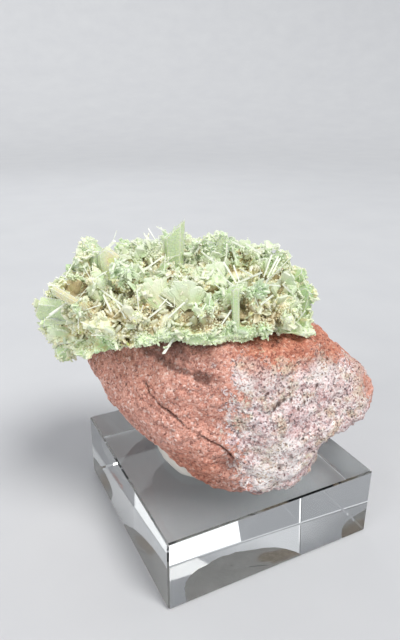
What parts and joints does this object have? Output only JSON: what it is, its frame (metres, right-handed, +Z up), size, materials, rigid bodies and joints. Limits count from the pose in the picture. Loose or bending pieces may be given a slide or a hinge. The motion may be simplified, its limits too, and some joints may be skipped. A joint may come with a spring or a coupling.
{
  "type": "gypsum crystal specimen on a stand",
  "caption": "Cluster of pale green gypsum crystals on its red-brown stone, set on a low clear acrylic block.",
  "frame": {"origin": "middle of the acrylic block's underside", "axes": "+Z up; the block's sides are square to X and Y, and the specimen stands turned 26.8 degrees clockwise on it, seen from above"},
  "size_m": [0.1055, 0.0811, 0.1076],
  "materials": {
    "acrylic_block": "clear, polished on every face",
    "putty_pad": "matte, pressed flat",
    "matrix_stone": "rough and grainy",
    "gypsum_crystals": "translucent, frosted edges"
  },
  "bodies": {
    "root": {"acrylic_block": "acrylic_block", "putty_pad": "putty_pad", "matrix_stone": "matrix_stone", "gypsum_crystals": "gypsum_crystals"}
  },
  "joints": []
}
